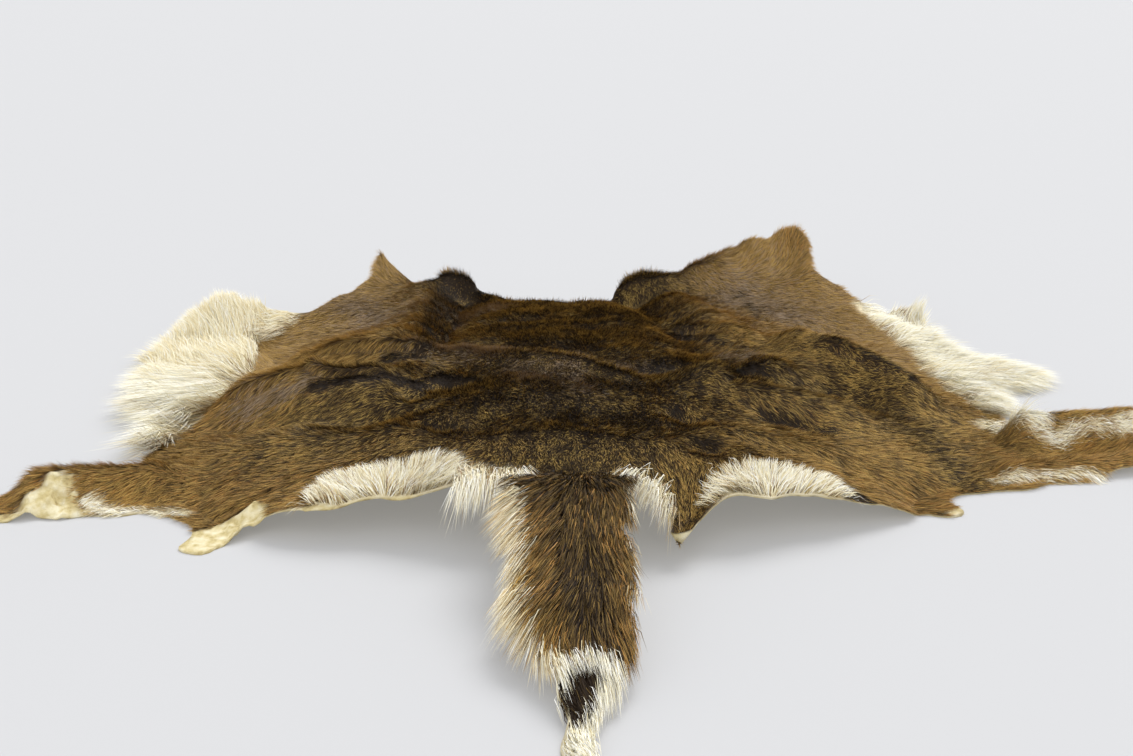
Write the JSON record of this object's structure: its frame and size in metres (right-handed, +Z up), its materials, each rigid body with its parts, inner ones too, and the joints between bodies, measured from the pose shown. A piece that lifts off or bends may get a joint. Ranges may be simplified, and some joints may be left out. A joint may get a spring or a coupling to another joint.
{
  "type": "deer hide",
  "caption": "Tanned deer hide with the hair on, lying hair side up: domed grizzled brown back, white belly and rump hair, leg flaps and a fringed tail. A rug or throw.",
  "frame": {"origin": "middle of the outline's box, on the floor it lies on", "axes": "+Z up out of the floor, +Y from the tail to the neck, +X to the right as seen from the tail"},
  "size_m": [1.3282, 1.3438, 0.1301],
  "materials": {
    "coat": "matte hair",
    "white_hair": "matte hair",
    "skin": "matte"
  },
  "bodies": {
    "root": {"hide": "coat"}
  },
  "joints": []
}
